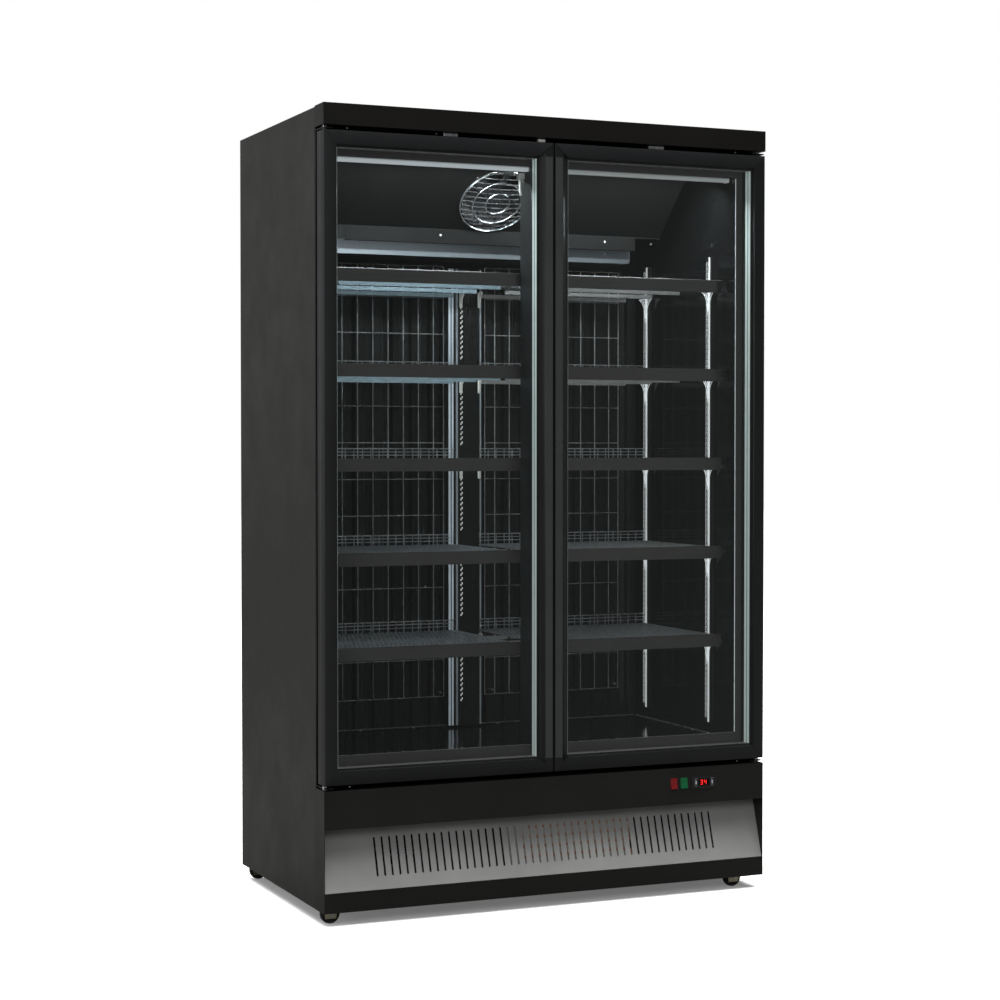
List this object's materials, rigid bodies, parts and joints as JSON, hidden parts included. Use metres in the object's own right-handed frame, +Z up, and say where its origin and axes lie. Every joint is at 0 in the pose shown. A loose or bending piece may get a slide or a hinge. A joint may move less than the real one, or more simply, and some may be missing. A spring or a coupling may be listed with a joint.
{
  "type": "glass door merchandiser",
  "caption": "Upright black refrigerated display cabinet with hinged full-height glass doors, wire shelves and a grille over its cooling unit.",
  "frame": {"origin": "on the floor under the middle of the cabinet, at the bottom centre of its box", "axes": "+Z up, the doors face -Y, +X is to the right when facing the doors"},
  "size_m": [1.25, 0.71, 2.038],
  "materials": {
    "painted_steel": "satin black powder coat on sheet steel",
    "door_profile": "smooth satin black profile",
    "gloss_liner": "glossy black liner",
    "grille_paint": "satin grey paint",
    "shelf_coat": "dark grey coating on steel",
    "upright_steel": "bright galvanised steel with slots",
    "hinge_steel": "zinc plated steel",
    "guard_chrome": "chromed steel wire",
    "clear_glass": "clear glass",
    "spacer_aluminium": "bright aluminium",
    "gasket_rubber": "soft black seal",
    "black_plastic": "moulded black plastic",
    "red_lens": "translucent red",
    "green_lens": "translucent green",
    "key_plastic": "soft grey key",
    "led_diffuser": "frosted diffuser",
    "compressor_enamel": "gloss black enamel",
    "coil_aluminium": "aluminium fins on copper tube",
    "zinc_plate": "yellow zinc plate",
    "caster_tyre": "black rubber"
  },
  "bodies": {
    "cabinet": {"side_panel_left": "painted_steel", "side_panel_right": "painted_steel", "header_fascia": "painted_steel", "lower_front_frame": "painted_steel", "control_panel": "painted_steel", "base_frame": "painted_steel", "rear_grille": "painted_steel", "evaporator_cover": "painted_steel", "drip_tray": "painted_steel", "centre_mullion": "door_profile", "insulated_cabinet": "gloss_liner", "rear_duct_panel": "gloss_liner", "condenser_grille": "grille_paint", "shelf_left_1": "shelf_coat", "shelf_left_2": "shelf_coat", "shelf_left_3": "shelf_coat", "shelf_left_4": "shelf_coat", "shelf_left_5": "shelf_coat", "shelf_right_1": "shelf_coat", "shelf_right_2": "shelf_coat", "shelf_right_3": "shelf_coat", "shelf_right_4": "shelf_coat", "shelf_right_5": "shelf_coat", "upright_left_front": "upright_steel", "upright_left_rear": "upright_steel", "upright_right_front": "upright_steel", "upright_right_rear": "upright_steel", "hinge_rail_top": "hinge_steel", "hinge_rail_bottom": "hinge_steel", "evaporator_fan_guard": "guard_chrome", "controller": "black_plastic", "evaporator_fan_motor": "black_plastic", "led_light_bar": "led_diffuser", "compressor": "compressor_enamel", "condenser": "coil_aluminium", "evaporator_coil": "coil_aluminium"},
    "left_door": {"left_door_frame": "door_profile", "left_door_outer_pane": "clear_glass", "left_door_inner_pane": "clear_glass", "left_door_spacer": "spacer_aluminium", "left_door_gasket": "gasket_rubber"},
    "right_door": {"right_door_frame": "door_profile", "right_door_outer_pane": "clear_glass", "right_door_inner_pane": "clear_glass", "right_door_spacer": "spacer_aluminium", "right_door_gasket": "gasket_rubber"},
    "evaporator_fan_rotor": {"evaporator_fan_blades": "black_plastic"},
    "condenser_fan_rotor": {"condenser_fan_blades": "black_plastic"},
    "red_rocker": {"red_switch": "red_lens"},
    "green_rocker": {"green_switch": "green_lens"},
    "left_key": {"key_left": "key_plastic"},
    "right_key": {"key_right": "key_plastic"},
    "swivel_front_left": {"caster_fork_front_left": "zinc_plate"},
    "wheel_front_left": {"caster_wheel_front_left": "caster_tyre"},
    "swivel_front_right": {"caster_fork_front_right": "zinc_plate"},
    "wheel_front_right": {"caster_wheel_front_right": "caster_tyre"},
    "swivel_rear_left": {"caster_fork_rear_left": "zinc_plate"},
    "wheel_rear_left": {"caster_wheel_rear_left": "caster_tyre"},
    "swivel_rear_right": {"caster_fork_rear_right": "zinc_plate"},
    "wheel_rear_right": {"caster_wheel_rear_right": "caster_tyre"}
  },
  "joints": [
    {"name": "left_door_swing", "type": "hinge", "parent": "cabinet", "child": "left_door", "pos_m": [-0.612, -0.33, 1.162], "axis": [0, 0, -1], "range_deg": [0, 100], "stiffness_Nm_per_rad": 1.5, "springref_deg": -20.05},
    {"name": "right_door_swing", "type": "hinge", "parent": "cabinet", "child": "right_door", "pos_m": [0.612, -0.33, 1.162], "axis": [0, 0, 1], "range_deg": [0, 100], "stiffness_Nm_per_rad": 1.5, "springref_deg": -20.05},
    {"name": "evaporator_fan_spin", "type": "hinge", "parent": "cabinet", "child": "evaporator_fan_rotor", "pos_m": [-0.03, -0.045, 1.8565], "axis": [0, -0.6953, -0.7187], "continuous": true},
    {"name": "condenser_fan_spin", "type": "hinge", "parent": "cabinet", "child": "condenser_fan_rotor", "pos_m": [0.1, -0.19, 0.185], "axis": [0, -1, 0], "continuous": true},
    {"name": "red_switch_rock", "type": "hinge", "parent": "cabinet", "child": "red_rocker", "pos_m": [0.353, -0.347, 0.297], "axis": [1, 0, 0], "range_deg": [0, 14]},
    {"name": "green_switch_rock", "type": "hinge", "parent": "cabinet", "child": "green_rocker", "pos_m": [0.383, -0.347, 0.297], "axis": [1, 0, 0], "range_deg": [0, 14]},
    {"name": "left_key_press", "type": "slide", "parent": "cabinet", "child": "left_key", "axis": [0, 1, 0], "range_m": [0, 0.001], "stiffness_N_per_m": 400, "springref_m": -0.001},
    {"name": "right_key_press", "type": "slide", "parent": "cabinet", "child": "right_key", "axis": [0, 1, 0], "range_m": [0, 0.001], "stiffness_N_per_m": 400, "springref_m": -0.001},
    {"name": "swivel_front_left_turn", "type": "hinge", "parent": "cabinet", "child": "swivel_front_left", "pos_m": [-0.575, -0.303, 0.06], "axis": [0, 0, 1], "continuous": true},
    {"name": "wheel_front_left_roll", "type": "hinge", "parent": "swivel_front_left", "child": "wheel_front_left", "pos_m": [-0.595, -0.303, 0.025], "axis": [0, 1, 0], "continuous": true},
    {"name": "swivel_front_right_turn", "type": "hinge", "parent": "cabinet", "child": "swivel_front_right", "pos_m": [0.575, -0.303, 0.06], "axis": [0, 0, 1], "continuous": true},
    {"name": "wheel_front_right_roll", "type": "hinge", "parent": "swivel_front_right", "child": "wheel_front_right", "pos_m": [0.555, -0.303, 0.025], "axis": [0, 1, 0], "continuous": true},
    {"name": "swivel_rear_left_turn", "type": "hinge", "parent": "cabinet", "child": "swivel_rear_left", "pos_m": [-0.575, 0.303, 0.06], "axis": [0, 0, 1], "continuous": true},
    {"name": "wheel_rear_left_roll", "type": "hinge", "parent": "swivel_rear_left", "child": "wheel_rear_left", "pos_m": [-0.595, 0.303, 0.025], "axis": [0, 1, 0], "continuous": true},
    {"name": "swivel_rear_right_turn", "type": "hinge", "parent": "cabinet", "child": "swivel_rear_right", "pos_m": [0.575, 0.303, 0.06], "axis": [0, 0, 1], "continuous": true},
    {"name": "wheel_rear_right_roll", "type": "hinge", "parent": "swivel_rear_right", "child": "wheel_rear_right", "pos_m": [0.555, 0.303, 0.025], "axis": [0, 1, 0], "continuous": true}
  ]
}
